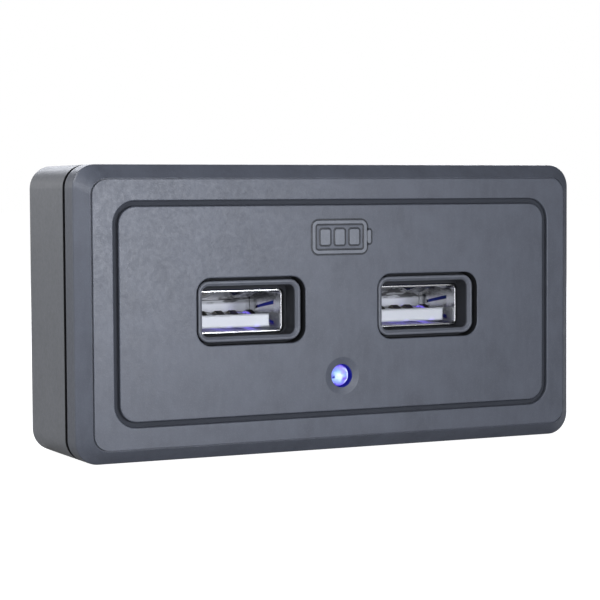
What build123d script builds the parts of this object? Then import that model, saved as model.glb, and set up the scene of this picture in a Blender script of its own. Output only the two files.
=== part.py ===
from build123d import *
import os

# Dual USB charging socket in a surface-mounted box, all sizes in millimetres.
# The origin is the middle of the two wall screw holes on the back plane.
# +X runs along the box, +Y points back into the wall and +Z is up.
# "Depth" below is always counted from the front face backwards.

# Box outline
body_width = 73.7
body_height = 38.0
body_depth = 19.2
corner_radius = 3.0
edge_bevel = 1.9
bevel_edge_radius = 0.3
face_corner_radius = 2.0
wall = 2.4
face_thickness = 2.2
back_wall = 2.0
back_edge_radius = 0.4
face_step_width = 0.16
face_step_depth = 0.3
skirt_depth = 4.85
shadow_gap = 0.85

# Frame line cut into the face
groove_inset = 4.6
groove_width = 0.75
groove_depth = 0.65
groove_radius = 3.0
groove_floor_radius = 0.3
groove_edge_radius = 0.12

# Port windows and the carrier behind them
port_offset = 13.15
window_width = 15.5
window_height = 8.75
window_radius = 2.0
window_edge_radius = 0.15
rim_clearance = 0.38
rim_setback = 0.6
rim_lip = 0.7
rim_edge_radius = 0.25
mouth_bevel = 0.35
mouth_radius = 0.9
carrier_width = 52.0
carrier_height = 12.0
carrier_thickness = 1.2
carrier_radius = 1.5
sleeve_wall = 0.9
sleeve_depth = 6.4
shoulder_gap = 0.3
socket_clearance = 0.1
edge_margin = 0.5

# Heat stakes that hold the carrier
stake_radius = 0.8
stake_clearance = 0.08
stake_head_radius = 1.4
stake_head_height = 0.8
stake_x = (-24.2, 0.0, 24.2)
stake_z = (-4.2, 4.2)

# Lip and snap arms of the cover
lip_thickness = 1.0
lip_reach = 2.4
lip_clearance = 0.1
arm_x = (-20.0, 20.0)
arm_width = 6.0
arm_thickness = 1.2
arm_clearance = 0.12
arm_root = 1.0
arm_reach = 11.4
hook_length = 2.0
hook_height = 0.8
hook_tip = 0.8
hook_clearance = 0.12
pocket_side_clearance = 0.24

# Stamped socket shells
socket_offset = 13.4
shell_width = 13.1
shell_height = 5.72
shell_corner_radius = 0.75
sheet = 0.3
shell_length = 10.9
shell_drop = 0.27
shell_rim_radius = 0.1
top_finger_x = (-3.1, 3.1)
top_finger_start = 1.9
top_finger_length = 5.6
top_finger_width = 1.9
top_finger_dip = 1.1
bottom_finger_dip = 0.22
side_finger_start = 2.2
side_finger_length = 5.2
side_finger_root = 2.32
side_finger_tip = 0.4
side_finger_slot = 0.5
side_finger_dip = 0.55
side_finger_drop = 0.45
finger_slot = 0.32
finger_crest_share = 0.72
finger_bend_radius = 1.4
finger_tip_rise = 0.35
seam_width = 0.12
seam_key_length = 1.6
seam_key_inset = 4.8
seam_key_width = 2.2
tab_width = 1.8
tab_projection = 0.7

# White insulator with its tongue
tongue_setback = 1.7
tongue_width = 10.9
tongue_thickness = 1.7
tongue_gap = 0.32
tongue_bevel = 0.2
base_thickness = 0.9
base_clearance = 0.05
root_block_length = 0.7
root_block_rise = 1.55
contact_x = (-3.5, -1.0, 1.0, 3.5)
contact_width = 1.0
contact_thickness = 0.25
contact_clearance = 0.04
contact_start = 0.9
contact_lead_in = 0.5
contact_bump = 0.45
contact_bump_length = 2.2
pin_projection = 0.6

# Circuit board and its screws
board_width = 51.0
board_gap = 1.1
board_radius = 1.0
board_thickness = 1.2
hole_clearance = 0.15
board_screw_inset = 2.5
standoff_height = 1.1
standoff_radius = 2.0
screw_radius = 1.0
screw_core_radius = 0.8
screw_length = 3.6
screw_head_radius = 1.8
screw_head_height = 1.2
screw_head_round = 0.4
screw_recess_radius = 0.9
screw_recess_depth = 0.6

# Status lamp
lamp_drop = 9.05
lamp_radius = 1.5
lamp_length = 5.3
lamp_setback = 0.1
lamp_flange_radius = 1.9
lamp_flange_height = 1.0
lamp_clearance = 0.06
dish_radius = 2.5
dish_depth = 0.2
lamp_boss_radius = 2.7
lamp_boss_depth = 4.2
lead_size = 0.5
lead_spacing = 2.0
lead_depth_in_lamp = 2.4
cup_radius = 0.6
cup_height = 0.6
spacer_radius = 2.4

# Power parts on the board
coil_x = 0.0
coil_z = 8.4
coil_radius = 4.7
coil_height = 7.6
coil_flange = 1.0
coil_hub_radius = 2.3
wire_radius = 0.35
wire_turns = 8
input_can_place = (-13.2, 8.9)
input_can_radius = 4.0
input_can_gap = 2.8
output_can_places = ((9.9, 8.6), (17.4, 8.6))
output_can_radius = 3.15
output_can_height = 7.2
can_edge_radius = 0.5
can_neck_depth = 0.35
can_neck_position = 1.6
can_lead_radius = 0.3

# Small parts on the board
chip_standoff = 0.1
chip_bevel = 0.1
converter_x = 8.6
converter_z = -9.2
converter_body = (4.9, 3.9, 1.45)
converter_legs = 4
converter_pitch = 1.27
control_x = 16.4
control_z = -8.0
control_body = (2.9, 1.6, 1.1)
control_legs = 3
control_pitch = 0.95
leg_width = 0.4
leg_length = 1.0
leg_thickness = 0.2
diode_x = -5.6
diode_z = -6.2
diode_body = (4.3, 2.6, 2.2)
fuse_x = -21.9
fuse_z = 6.4
fuse_body = (6.1, 2.5, 2.0)
resistor_places = ((12.4, -11.2), (15.2, -11.2), (18.0, -11.2), (19.6, -8.0))
resistor_body = (2.0, 1.25, 0.55)
capacitor_places = ((-3.0, 1.6), (0.0, 1.6), (3.0, 1.6), (5.4, -5.4))
capacitor_body = (2.0, 1.25, 1.0)
end_cap = 0.35
end_cap_proud = 0.035

# Screw terminals for the supply wires
terminal_x = -12.7
terminal_shell_gap = 0.45
terminal_width = 8.0
terminal_height = 9.6
terminal_carrier_gap = 3.0
terminal_pitch = 4.6
terminal_bevel = 1.0
wire_hole_radius = 1.5
wire_hole_depth = 4.4
wire_hole_rise = 3.2
cage_size = 3.6
cage_wall = 0.5
cage_depth = 4.6
cage_clearance = 0.05
terminal_screw_radius = 1.25
terminal_head_radius = 1.7
terminal_head_height = 1.4
terminal_screw_length = 2.6
terminal_slot = 0.5
terminal_slot_depth = 0.6

# Back wall
wall_screw_inset = 6.35
wall_screw_radius = 2.1
wall_boss_radius = 3.4
wall_boss_height = 1.0
inlet_boss_gap = 0.25
inlet_radius = 2.9
cable_radius = 2.1
grommet_flange_radius = 3.6
grommet_flange = 1.0
grommet_collar = 0.9
grommet_clearance = 0.05
rib_thickness = 1.0
rib_x = (-5.0, 5.0)

# Tolerance for finding edges by their depth
level_tolerance = 0.001

# Sizes that follow from the ones above
face_width = body_width - 2 * edge_bevel
face_height = body_height - 2 * edge_bevel
inner_width = body_width - 2 * wall
inner_height = body_height - 2 * wall
inner_radius = corner_radius - wall
rim_width = window_width - 2 * rim_clearance
rim_height = window_height - 2 * rim_clearance
rim_radius = window_radius - rim_clearance
mouth_width = rim_width - 2 * rim_lip
mouth_height = rim_height - 2 * rim_lip
carrier_back = face_thickness + carrier_thickness
floor_depth = body_depth - back_wall
board_back = floor_depth - standoff_height
board_front = board_back - board_thickness
board_height = inner_height - 2 * board_gap
screw_x = (board_screw_inset - board_width / 2, board_width / 2 - board_screw_inset)
screw_z = (board_screw_inset - board_height / 2, board_height / 2 - board_screw_inset)
shell_front = board_front - shell_length
shoulder_depth = shell_front - shoulder_gap
shell_z = -shell_drop
shell_floor = shell_z - shell_height / 2 + sheet
pocket_width = shell_width + 2 * socket_clearance
pocket_height = shell_height + 2 * socket_clearance
pocket_radius = shell_corner_radius + socket_clearance
tongue_front = shell_front + tongue_setback
base_front = board_front - base_thickness
tongue_top = shell_floor + tongue_gap + tongue_thickness
lamp_z = -lamp_drop
lamp_back = lamp_setback + lamp_length
input_can = (*input_can_place, input_can_radius, board_front - face_thickness - input_can_gap)
output_cans = [(x, z, output_can_radius, output_can_height) for x, z in output_can_places]
terminal_z = shell_z - shell_height / 2 - terminal_shell_gap - terminal_height / 2
terminal_depth = board_front - carrier_back - terminal_carrier_gap
wall_screw_x = body_width / 2 - wall_screw_inset
inlet_x = -wall_screw_x
inlet_z = -(wall_boss_radius + inlet_boss_gap + grommet_flange_radius)
window_x = (-port_offset, port_offset)
socket_x = (-socket_offset, socket_offset)

INWARD = (0, 1, 0)


def face_plane(depth, x=0.0, z=0.0):
    """Plane parallel to the front face, with its normal towards the user."""
    return Plane(origin=(x, depth - body_depth, z), x_dir=(1, 0, 0), z_dir=(0, -1, 0))


def side_plane(x, depth=0.0, z=0.0):
    """Plane across the box: its first axis runs inwards, its second one up."""
    return Plane(origin=(x, depth - body_depth, z), x_dir=(0, 1, 0), z_dir=(1, 0, 0))


def block(width, height, near, far, x=0.0, z=0.0, radius=0.0):
    """Rounded or square bar between two depths."""
    outline = RectangleRounded(width, height, radius) if radius else Rectangle(width, height)
    return extrude(face_plane(near, x, z) * outline, amount=far - near, dir=INWARD)


def disc(radius, near, far, x=0.0, z=0.0):
    """Round bar between two depths."""
    return extrude(face_plane(near, x, z) * Circle(radius), amount=far - near, dir=INWARD)


def turned(points, x=0.0, z=0.0):
    """Body turned about an axis along Y, from (radius, depth) points."""
    plane = Plane(origin=(x, -body_depth, z), x_dir=(1, 0, 0), z_dir=(0, 0, 1))
    outline = plane * make_face(Polyline(*points, close=True))
    return revolve(outline, axis=Axis((x, 0, z), (0, 1, 0)))


def edges_at(shape, depth):
    """Edges of a shape that lie in the plane at a depth."""
    level = depth - body_depth
    return shape.edges().filter_by_position(Axis.Y, level - level_tolerance, level + level_tolerance)


def inner_edges(shape, depth, width, height, x, z=0.0):
    """Edges at a depth that lie inside a rectangle about (x, z)."""
    found = ShapeList()
    for edge in edges_at(shape, depth):
        middle = edge.center()
        if abs(middle.X - x) < width / 2 and abs(middle.Z - z) < height / 2:
            found.append(edge)
    return found


def ring_edges(shape, inner_x, inner_z):
    """Edges in the face that run round a ring, from its inner half sizes."""
    found = ShapeList()
    for edge in edges_at(shape, 0):
        middle = edge.center()
        out_x = abs(middle.X) - inner_x
        out_z = abs(middle.Z) - inner_z
        if -groove_radius / 2 < max(out_x, out_z) < groove_width + edge_margin:
            found.append(edge)
    return found


def snap_arm(x, side):
    """One snap arm of the cover; side is +1 at the top and -1 at the bottom."""
    outer = body_height / 2 - wall - arm_clearance
    inner = outer - arm_thickness
    catch = arm_reach - hook_length
    root = face_thickness - arm_root
    outline = Polyline(
        (root, inner),
        (arm_reach, inner),
        (arm_reach, inner + hook_tip),
        (catch, outer + hook_height),
        (catch, outer),
        (root, outer),
        close=True,
    )
    arm = extrude(side_plane(x) * make_face(outline), amount=arm_width / 2, both=True)
    return arm if side > 0 else mirror(arm, about=Plane.XY)


def hook_pocket(x, side):
    """Pocket in the housing wall that a snap arm's hook falls into."""
    outer = body_height / 2 - wall - arm_clearance
    catch = arm_reach - hook_length
    reach = outer + hook_height + hook_clearance
    height = reach - (body_height / 2 - wall - arm_thickness)
    middle = side * (reach - height / 2)
    width = arm_width + 2 * pocket_side_clearance
    return block(width, height, catch - hook_clearance, arm_reach + hook_clearance, x, middle)


def make_front_cover():
    """Front cover: bevelled face, skirt, lip, snap arms, windows and lamp dish."""
    face = face_plane(0) * RectangleRounded(face_width, face_height, face_corner_radius)
    outline = face_plane(edge_bevel) * RectangleRounded(body_width, body_height, corner_radius)
    cover = loft([face, outline], ruled=True)
    cover += block(body_width, body_height, edge_bevel, skirt_depth, radius=corner_radius)
    cover = fillet(edges_at(cover, edge_bevel), bevel_edge_radius)
    lip_inset = wall - lip_thickness
    lip_end = skirt_depth + lip_reach
    cover += block(body_width - 2 * lip_inset, body_height - 2 * lip_inset,
                   skirt_depth, lip_end, radius=corner_radius - lip_inset)
    cover -= block(inner_width, inner_height, face_thickness, lip_end, radius=inner_radius)
    for side in (1, -1):
        for x in arm_x:
            cover += snap_arm(x, side)

    # Fine step between the face and the bevel
    step = block(face_width + 2 * face_step_width, face_height + 2 * face_step_width,
                 0, face_step_depth, radius=face_corner_radius + face_step_width)
    step -= block(face_width, face_height, 0, face_step_depth, radius=face_corner_radius)
    cover -= step

    # Frame line
    line_width = body_width - 2 * groove_inset
    line_height = body_height - 2 * groove_inset
    line = block(line_width, line_height, 0, groove_depth, radius=groove_radius)
    line -= block(line_width - 2 * groove_width, line_height - 2 * groove_width,
                  0, groove_depth, radius=groove_radius - groove_width)
    cover -= fillet(edges_at(line, groove_depth), groove_floor_radius)
    rims = ring_edges(cover, line_width / 2 - groove_width, line_height / 2 - groove_width)
    cover = fillet(rims, groove_edge_radius)

    # Port windows
    for x in window_x:
        cover -= block(window_width, window_height, 0, face_thickness, x, radius=window_radius)
    for x in window_x:
        window = inner_edges(cover, 0, window_width + edge_margin,
                             window_height + edge_margin, x)
        cover = fillet(window, window_edge_radius)

    # Lamp dish, its hole and the boss that guides the lamp
    bore = lamp_radius + lamp_clearance
    cover += disc(lamp_boss_radius, face_thickness, lamp_boss_depth, z=lamp_z)
    cover -= disc(bore, 0, lamp_boss_depth, z=lamp_z)
    cover -= turned(((0, 0), (dish_radius, 0), (bore, dish_depth), (0, dish_depth)), z=lamp_z)

    # Heat stakes, set over the back of the carrier
    head_end = carrier_back + stake_head_height
    for x in stake_x:
        for z in stake_z:
            cover += disc(stake_radius, face_thickness, carrier_back, x, z)
            cover += turned(((0, carrier_back), (stake_head_radius, carrier_back),
                             (stake_radius, head_end), (0, head_end)), x, z)
    return cover


def make_port_carrier():
    """Plate behind the face with the two port rims and their sleeves."""
    carrier = block(carrier_width, carrier_height, face_thickness, carrier_back,
                    radius=carrier_radius)
    for x in window_x:
        rim = block(rim_width, rim_height, rim_setback, face_thickness, x, radius=rim_radius)
        carrier += fillet(edges_at(rim, rim_setback), rim_edge_radius)
    for x in socket_x:
        carrier += block(pocket_width + 2 * sleeve_wall, pocket_height + 2 * sleeve_wall,
                         carrier_back, sleeve_depth, x, shell_z,
                         pocket_radius + sleeve_wall)
    for x in window_x:
        carrier -= block(mouth_width, mouth_height, rim_setback, shoulder_depth, x,
                         radius=mouth_radius)
    for x in socket_x:
        carrier -= block(pocket_width, pocket_height, shoulder_depth, sleeve_depth, x,
                         shell_z, pocket_radius)
    for x in window_x:
        mouth = inner_edges(carrier, rim_setback, mouth_width + edge_margin,
                            mouth_height + edge_margin, x)
        carrier = chamfer(mouth, mouth_bevel)
    for x in stake_x:
        for z in stake_z:
            carrier -= disc(stake_radius + stake_clearance, face_thickness, carrier_back, x, z)
    return carrier


def make_rear_housing():
    """Rear housing: open box with a rebate, hook pockets, standoffs and bosses."""
    rim = skirt_depth + shadow_gap
    housing = block(body_width, body_height, rim, body_depth, radius=corner_radius)
    housing = fillet(edges_at(housing, body_depth), back_edge_radius)
    housing -= block(inner_width, inner_height, rim, floor_depth, radius=inner_radius)
    rebate_inset = wall - lip_thickness - lip_clearance
    housing -= block(body_width - 2 * rebate_inset, body_height - 2 * rebate_inset,
                     rim, skirt_depth + lip_reach, radius=corner_radius - rebate_inset)
    for side in (1, -1):
        for x in arm_x:
            housing -= hook_pocket(x, side)

    # Board standoffs and stiffening ribs on the floor
    for x in rib_x:
        housing += block(rib_thickness, inner_height, board_back + hole_clearance,
                         floor_depth, x)
    for x in screw_x:
        for z in screw_z:
            housing += disc(standoff_radius, board_back, floor_depth, x, z)
    for x in screw_x:
        for z in screw_z:
            housing -= disc(screw_core_radius, board_back,
                            board_front + screw_length + hole_clearance, x, z)

    # Wall screw bosses
    for x in (-wall_screw_x, wall_screw_x):
        housing += disc(wall_boss_radius, floor_depth - wall_boss_height, floor_depth, x)
        housing -= disc(wall_screw_radius, floor_depth - wall_boss_height, body_depth, x)

    # Cable inlet with a seat that keeps the grommet flush with the back
    housing -= disc(inlet_radius, floor_depth, body_depth, inlet_x, inlet_z)
    housing -= disc(grommet_flange_radius + grommet_clearance,
                    body_depth - grommet_flange, body_depth, inlet_x, inlet_z)
    return housing


def make_cable_grommet():
    """Rubber grommet in the cable inlet, with a bore for a two-core cable."""
    seat = body_depth - grommet_flange
    neck = inlet_radius - grommet_clearance
    collar_end = floor_depth - grommet_collar
    outline = (
        (cable_radius, body_depth),
        (grommet_flange_radius, body_depth),
        (grommet_flange_radius, seat),
        (neck, seat),
        (neck, floor_depth),
        (grommet_flange_radius, floor_depth),
        (neck, collar_end),
        (cable_radius, collar_end),
    )
    return turned(outline, inlet_x, inlet_z)


def bent_strip(length, dip):
    """Side view of a spring finger: down to its crest, then up to its tip."""
    crest = finger_crest_share * length
    path = FilletPolyline((0, 0), (crest, -dip), (length, -dip + finger_tip_rise * dip),
                          radius=finger_bend_radius)
    return trace(Line((-sheet, 0), (0, 0)) + path, line_width=sheet)


def flat_finger(x, side, dip):
    """Spring finger of the top or bottom wall, and the slot round it."""
    start = shell_front + top_finger_start
    level = side * (shell_height / 2 - sheet / 2)
    strip = bent_strip(top_finger_length, dip)
    if side < 0:
        strip = mirror(strip, about=Plane.XZ)
    finger = extrude(side_plane(x, start, shell_z + level) * strip,
                     amount=top_finger_width / 2, both=True)
    slot = block(top_finger_width + 2 * finger_slot, 2 * sheet, start,
                 start + top_finger_length + finger_slot, x, shell_z + level)
    return finger, slot


def side_finger(x, side):
    """Tapered spring finger of a side wall, and the slot round it."""
    start = shell_front + side_finger_start
    level = x + side * (shell_width / 2 - sheet / 2)
    middle = shell_z - side_finger_drop
    end = start + side_finger_length

    def taper(margin, reach, thickness):
        root = side_finger_root / 2 + margin
        tip = side_finger_tip / 2 + margin
        outline = Polyline((start, root), (start + reach, tip), (start + reach, -tip),
                           (start, -root), close=True)
        return extrude(side_plane(level, 0, middle) * make_face(outline),
                       amount=thickness, both=True)

    strip = bent_strip(side_finger_length, side_finger_dip)
    if side < 0:
        strip = mirror(strip, about=Plane.XZ)
    lying = Plane(origin=(level, start - body_depth, middle), x_dir=(0, 1, 0),
                  z_dir=(0, 0, -1))
    finger = extrude(lying * strip, amount=side_finger_root, both=True)
    reach = side_finger_length + side_finger_slot
    root_block = block(2 * sheet, side_finger_root, start - sheet, start, level, middle)
    finger &= taper(0, reach, side_finger_root) + root_block
    return finger, taper(side_finger_slot, reach, sheet)


def make_usb_shell(x):
    """Stamped socket shell with spring fingers, a keyed seam and solder tabs."""
    back = shell_front + shell_length
    shell = block(shell_width, shell_height, shell_front, back, x, shell_z,
                  shell_corner_radius)
    shell -= block(shell_width - 2 * sheet, shell_height - 2 * sheet, shell_front, back,
                   x, shell_z, shell_corner_radius - sheet)
    shell = fillet(edges_at(shell, shell_front), shell_rim_radius)

    # Seam under the tongue, locked by a dovetail key
    bottom = shell_z - shell_height / 2 + sheet / 2
    key_start = back - seam_key_inset
    shell -= block(seam_width, 2 * sheet, shell_front, key_start, x, bottom)
    shell -= block(seam_width, 2 * sheet, key_start + seam_key_length, back, x, bottom)
    key = block(seam_key_width, 2 * sheet, key_start, key_start + seam_key_length, x, bottom)
    key -= block(seam_key_width - 2 * seam_width, 2 * sheet, key_start + seam_width,
                 key_start + seam_key_length - seam_width, x, bottom)
    key -= block(seam_key_width / 2, 2 * sheet, key_start + seam_width,
                 key_start + seam_key_length - seam_width, x - seam_key_width / 2, bottom)
    shell -= key

    # Spring fingers
    fingers = [flat_finger(x + dx, 1, top_finger_dip) for dx in top_finger_x]
    fingers += [flat_finger(x + dx, -1, bottom_finger_dip) for dx in top_finger_x]
    fingers += [side_finger(x, side) for side in (-1, 1)]
    for finger, slot in fingers:
        shell -= slot
    for finger, slot in fingers:
        shell += finger

    # Solder tabs
    for side in (-1, 1):
        level = x + side * (shell_width / 2 - sheet / 2)
        shell += block(sheet, tab_width, back - sheet, board_back + tab_projection, level,
                       shell_z)
    return shell


def contact_path(x, margin=0.0):
    """Straight channel of one contact along the tongue and through the base."""
    width = contact_width + 2 * margin
    height = contact_thickness + margin
    middle = tongue_top - contact_thickness + height / 2
    start = tongue_front + contact_start - margin
    return block(width, height, start, board_front, x, middle)


def make_usb_insulator(x):
    """White moulding: the base that closes the shell, and the tongue."""
    width = shell_width - 2 * sheet - 2 * base_clearance
    height = shell_height - 2 * sheet - 2 * base_clearance
    radius = shell_corner_radius - sheet - base_clearance
    insulator = block(width, height, base_front, board_front, x, shell_z, radius)
    middle = tongue_top - tongue_thickness / 2
    tongue = block(tongue_width, tongue_thickness, tongue_front, base_front, x, middle)
    tongue = chamfer(edges_at(tongue, tongue_front), tongue_bevel)
    insulator += tongue
    root = block(tongue_width, tongue_thickness + root_block_rise, base_front - root_block_length,
                 base_front, x, middle + root_block_rise / 2)
    insulator += root
    for dx in contact_x:
        insulator -= contact_path(x + dx, contact_clearance)
    return insulator


def make_usb_contacts(x):
    """Four contacts, each with its raised bump near the front and its pin."""
    contacts = []
    bump_start = contact_start + contact_lead_in
    bump_middle = bump_start + contact_bump_length / 2
    bump_end = bump_start + contact_bump_length
    for dx in contact_x:
        level = tongue_top - contact_thickness / 2
        path = Polyline(
            (contact_start, 0),
            (bump_start, 0),
            (bump_middle, contact_bump),
            (bump_end, 0),
            (board_back + pin_projection - tongue_front, 0),
        )
        strip = side_plane(x + dx, tongue_front, level) * trace(path, line_width=contact_thickness)
        contacts.append(extrude(strip, amount=contact_width / 2, both=True))
    return Compound(contacts)


def board_holes():
    """Everything that passes through the board."""
    holes = []
    near, far = board_front, board_back
    for x in socket_x:
        for side in (-1, 1):
            level = x + side * (shell_width / 2 - sheet / 2)
            holes.append(block(sheet + 2 * hole_clearance, tab_width + 2 * hole_clearance,
                               near, far, level, shell_z))
        for dx in contact_x:
            holes.append(block(contact_width + 2 * hole_clearance,
                               contact_thickness + 2 * hole_clearance, near, far, x + dx,
                               tongue_top - contact_thickness / 2))
    for x in screw_x:
        for z in screw_z:
            holes.append(disc(screw_radius + hole_clearance, near, far, x, z))
    for side in (-1, 1):
        holes.append(block(lead_size + 2 * hole_clearance, lead_size + 2 * hole_clearance,
                           near, far, side * lead_spacing / 2, lamp_z))
    for x, z, radius, height in (input_can, *output_cans):
        for side in (-1, 1):
            holes.append(disc(can_lead_radius + hole_clearance, near, far,
                              x + side * radius / 2, z))
    return holes


def make_circuit_board():
    """Circuit board, parallel to the face, seated on the standoffs."""
    board = block(board_width, board_height, board_front, board_back, radius=board_radius)
    for hole in board_holes():
        board -= hole
    return board


def make_board_screws():
    """Four self-tapping screws with a round recess in the head."""
    screws = []
    head_top = board_front - screw_head_height
    for x in screw_x:
        for z in screw_z:
            screw = disc(screw_head_radius, head_top, board_front, x, z)
            screw = fillet(edges_at(screw, head_top), screw_head_round)
            screw -= disc(screw_recess_radius, head_top, head_top + screw_recess_depth, x, z)
            screw += disc(screw_core_radius, board_front, board_front + screw_length, x, z)
            screws.append(screw)
    return Compound(screws)


def make_led_leads():
    """Two square leads; the left one carries the cup that the die sits in."""
    top = lamp_back - lead_depth_in_lamp
    leads = []
    for side in (-1, 1):
        lead = block(lead_size, lead_size, top, board_back + pin_projection,
                     side * lead_spacing / 2, lamp_z)
        if side < 0:
            cup_x = -lead_spacing / 2 + cup_radius
            lead += disc(cup_radius, top - cup_height / 2, top + cup_height / 2, cup_x, lamp_z)
        leads.append(lead)
    return Compound(leads)


def make_status_led():
    """Lamp body: dome, barrel and flange, moulded round the leads."""
    flange_front = lamp_back - lamp_flange_height
    dome = lamp_setback + lamp_radius
    lamp = disc(lamp_radius, dome, flange_front, z=lamp_z)
    lamp += Pos(0, dome - body_depth, lamp_z) * Sphere(lamp_radius)
    lamp += disc(lamp_flange_radius, flange_front, lamp_back, z=lamp_z)
    return lamp - make_led_leads()


def make_led_spacer():
    """Spacer that stands the lamp off the board, with a hole for each lead."""
    spacer = disc(spacer_radius, lamp_back, board_front, z=lamp_z)
    for side in (-1, 1):
        spacer -= block(lead_size + hole_clearance, lead_size + hole_clearance,
                        lamp_back, board_front, side * lead_spacing / 2, lamp_z)
    return spacer


def make_coil_core():
    """Drum core of the power coil, standing on the board."""
    front = board_front - coil_height
    core = disc(coil_radius, front, front + coil_flange, coil_x, coil_z)
    core += disc(coil_hub_radius, front, board_front, coil_x, coil_z)
    core += disc(coil_radius, board_front - coil_flange, board_front, coil_x, coil_z)
    return core


def make_coil_winding():
    """Copper winding of the coil, one ridge for each turn of its outer layer."""
    start = board_front - coil_height + coil_flange
    end = board_front - coil_flange
    pitch = (end - start) / wire_turns
    outer = coil_radius - 2 * wire_radius
    winding = disc(outer, start, end, coil_x, coil_z)
    for turn in range(wire_turns):
        middle = start + (turn + 0.5) * pitch - body_depth
        ridge = Torus(outer, wire_radius)
        winding += Pos(coil_x, middle, coil_z) * Rot(90, 0, 0) * ridge
    return winding - disc(coil_hub_radius, start, end, coil_x, coil_z)


def make_can(x, z, radius, height):
    """Electrolytic capacitor: rounded can with its crimped neck and two leads."""
    front = board_front - height
    can = disc(radius, front, board_front, x, z)
    can = fillet(edges_at(can, front), can_edge_radius)
    neck = board_front - can_neck_position
    can -= turned(((radius, neck - can_neck_depth), (radius - can_neck_depth, neck),
                   (radius, neck + can_neck_depth)), x, z)
    for side in (-1, 1):
        can += disc(can_lead_radius, board_front, board_back + pin_projection,
                    x + side * radius / 2, z)
    return can


def make_legged_chip(x, z, body, legs, pitch):
    """Moulded chip with bent legs along its two long sides."""
    width, height, thickness = body
    top = board_front - chip_standoff - thickness
    chip = block(width, height, top, board_front - chip_standoff, x, z)
    chip = chamfer(edges_at(chip, top), chip_bevel)
    middle = board_front - chip_standoff - thickness / 2
    for side in (-1, 1):
        for leg in range(legs):
            leg_x = x + (leg - (legs - 1) / 2) * pitch
            path = FilletPolyline((0, -leg_thickness), (leg_length / 2, -leg_thickness),
                                  (leg_length / 2, board_front - middle - leg_thickness / 2),
                                  (leg_length, board_front - middle - leg_thickness / 2),
                                  radius=leg_thickness)
            plane = Plane(origin=(leg_x, middle - body_depth, z + side * height / 2),
                          x_dir=(0, 0, side), z_dir=(side, 0, 0))
            chip += extrude(plane * trace(path, line_width=leg_thickness),
                            amount=leg_width / 2, both=True)
    return chip


def make_wrapped_chip(x, z, body):
    """Two-ended part: a body between end caps that stand a little proud."""
    width, height, thickness = body
    part = block(width - 2 * end_cap, height - 2 * end_cap_proud,
                 board_front - thickness + end_cap_proud, board_front, x, z)
    for side in (-1, 1):
        part += block(end_cap, height, board_front - thickness, board_front,
                      x + side * (width - end_cap) / 2, z)
    return part


def terminal_poles():
    """Heights of the two terminals."""
    return (terminal_z - terminal_pitch / 2, terminal_z + terminal_pitch / 2)


def make_terminal_block():
    """Terminal housing with two wire entries and two screw wells."""
    front = board_front - terminal_depth
    body = block(terminal_width, terminal_height, front, board_front, terminal_x, terminal_z)
    corner = edges_at(body, front).filter_by(Axis.Z)
    body = chamfer(corner, terminal_bevel)
    left = terminal_x - terminal_width / 2
    entry = board_front - wire_hole_rise
    cage_middle = left + wire_hole_depth / 2 + cage_wall
    cage_front = board_front - cage_wall - cage_depth
    for z in terminal_poles():
        hole = side_plane(left, entry, z) * Circle(wire_hole_radius)
        body -= extrude(hole, amount=wire_hole_depth)
        body -= disc(terminal_head_radius + hole_clearance, front, cage_front, cage_middle, z)
        size = cage_size + 2 * cage_clearance
        body -= block(size, size, cage_front, board_front - cage_wall + cage_clearance,
                      cage_middle, z)
    return body


def make_terminal_clamps():
    """Two clamp cages, open towards the wire entries."""
    clamps = []
    left = terminal_x - terminal_width / 2
    cage_middle = left + wire_hole_depth / 2 + cage_wall
    cage_front = board_front - cage_wall - cage_depth
    for z in terminal_poles():
        cage = block(cage_size, cage_size, cage_front, board_front - cage_wall, cage_middle, z)
        cage -= block(cage_size, cage_size - 2 * cage_wall, cage_front + 2 * cage_wall,
                      board_front - 2 * cage_wall, cage_middle, z)
        cage -= disc(terminal_screw_radius, cage_front, cage_front + 2 * cage_wall,
                     cage_middle, z)
        clamps.append(cage)
    return Compound(clamps)


def make_terminal_screws():
    """Two slotted clamp screws in their wells."""
    screws = []
    left = terminal_x - terminal_width / 2
    cage_middle = left + wire_hole_depth / 2 + cage_wall
    seat = board_front - cage_wall - cage_depth
    head_top = seat - terminal_head_height
    for z in terminal_poles():
        screw = disc(terminal_head_radius, head_top, seat, cage_middle, z)
        screw -= block(2 * terminal_head_radius, terminal_slot, head_top,
                       head_top + terminal_slot_depth, cage_middle, z)
        screw += disc(terminal_screw_radius, seat, seat + terminal_screw_length,
                      cage_middle, z)
        screws.append(screw)
    return Compound(screws)


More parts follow.
